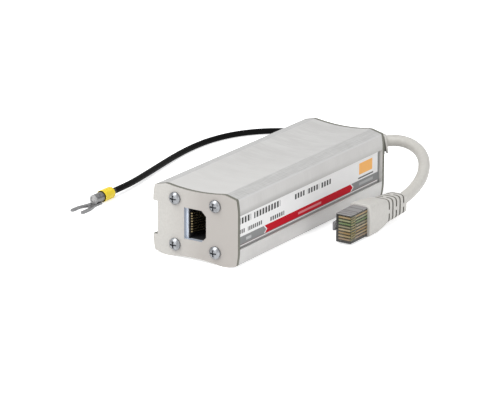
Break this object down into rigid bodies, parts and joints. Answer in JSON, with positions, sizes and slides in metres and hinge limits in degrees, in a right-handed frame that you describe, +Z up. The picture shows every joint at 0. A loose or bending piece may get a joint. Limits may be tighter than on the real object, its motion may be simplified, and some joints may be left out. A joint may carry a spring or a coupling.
{
  "type": "ethernet surge protector",
  "caption": "Aluminium-profile network surge protector with a shielded socket in its front plate and, at the rear, a short patch cord with a plug and a black ground wire with a fork terminal.",
  "frame": {"origin": "bottom centre of the housing with its plates and screws, on the surface it stands on", "axes": "+X to the side with the printed strip, +Y from the socket plate to the cord plate, +Z up"},
  "size_m": [0.1229, 0.1643, 0.028],
  "materials": {
    "aluminium": "fine-ground satin, clear anodised",
    "painted_plate": "beige-grey, finely textured",
    "zinc_screw": "bright zinc",
    "printed_strip": "printed, satin",
    "jack_shield": "nickel plated",
    "black_plastic": "moulded",
    "gold_contact": "gold plated",
    "board_green": "solder mask",
    "tube_ceramic": "glazed",
    "chip_black": "moulded",
    "block_grey": "moulded",
    "brass_block": "bare",
    "core_insulation": "smooth",
    "cord_jacket": "smooth, slightly glossy",
    "boot_rubber": "soft moulded",
    "clear_plastic": "clear",
    "conductor_white": "smooth",
    "conductor_orange": "smooth",
    "conductor_blue": "smooth",
    "conductor_green": "smooth",
    "conductor_brown": "smooth",
    "black_wire": "smooth, slightly glossy",
    "black_bush": "soft",
    "yellow_collar": "smooth",
    "tinned_metal": "tinned"
  },
  "bodies": {
    "protector": {"board_link_header": "black_plastic", "cord_core_1": "core_insulation", "cord_core_2": "core_insulation", "cord_core_3": "core_insulation", "cord_core_4": "core_insulation", "cord_strain_relief": "boot_rubber", "cord_terminal_block": "block_grey", "decoupling_resistor_1": "chip_black", "decoupling_resistor_2": "chip_black", "earth_block": "brass_block", "earth_clamp_screw": "zinc_screw", "fork_terminal": "tinned_metal", "front_plate": "painted_plate", "front_screws": "zinc_screw", "gas_discharge_tube_1": "tube_ceramic", "gas_discharge_tube_2": "tube_ceramic", "gas_discharge_tube_3": "tube_ceramic", "gas_discharge_tube_4": "tube_ceramic", "ground_wire": "black_wire", "ground_wire_grommet": "black_bush", "housing_extrusion": "aluminium", "jack_board": "board_green", "jack_contact_1": "gold_contact", "jack_contact_2": "gold_contact", "jack_contact_3": "gold_contact", "jack_contact_4": "gold_contact", "jack_contact_5": "gold_contact", "jack_contact_6": "gold_contact", "jack_contact_7": "gold_contact", "jack_contact_8": "gold_contact", "jack_insulator": "black_plastic", "jack_shell": "jack_shield", "label_strip": "printed_strip", "main_board": "board_green", "patch_cord": "cord_jacket", "plug_body": "clear_plastic", "plug_boot": "boot_rubber", "plug_conductor_1": "conductor_white", "plug_conductor_2": "conductor_orange", "plug_conductor_3": "conductor_white", "plug_conductor_4": "conductor_blue", "plug_conductor_5": "conductor_white", "plug_conductor_6": "conductor_green", "plug_conductor_7": "conductor_white", "plug_conductor_8": "conductor_brown", "plug_contact_1": "gold_contact", "plug_contact_2": "gold_contact", "plug_contact_3": "gold_contact", "plug_contact_4": "gold_contact", "plug_contact_5": "gold_contact", "plug_contact_6": "gold_contact", "plug_contact_7": "gold_contact", "plug_contact_8": "gold_contact", "rear_plate": "painted_plate", "rear_screws": "zinc_screw", "suppressor_diode_1": "chip_black", "suppressor_diode_2": "chip_black", "terminal_core": "tinned_metal", "terminal_sleeve": "yellow_collar"},
    "latch": {"plug_latch": "clear_plastic"}
  },
  "joints": [
    {"name": "latch_flex", "type": "hinge", "parent": "protector", "child": "latch", "pos_m": [0.03145, -0.0052, 0.0065], "axis": [0, 0, -1], "range_deg": [0, 6], "stiffness_Nm_per_rad": 0.02}
  ]
}
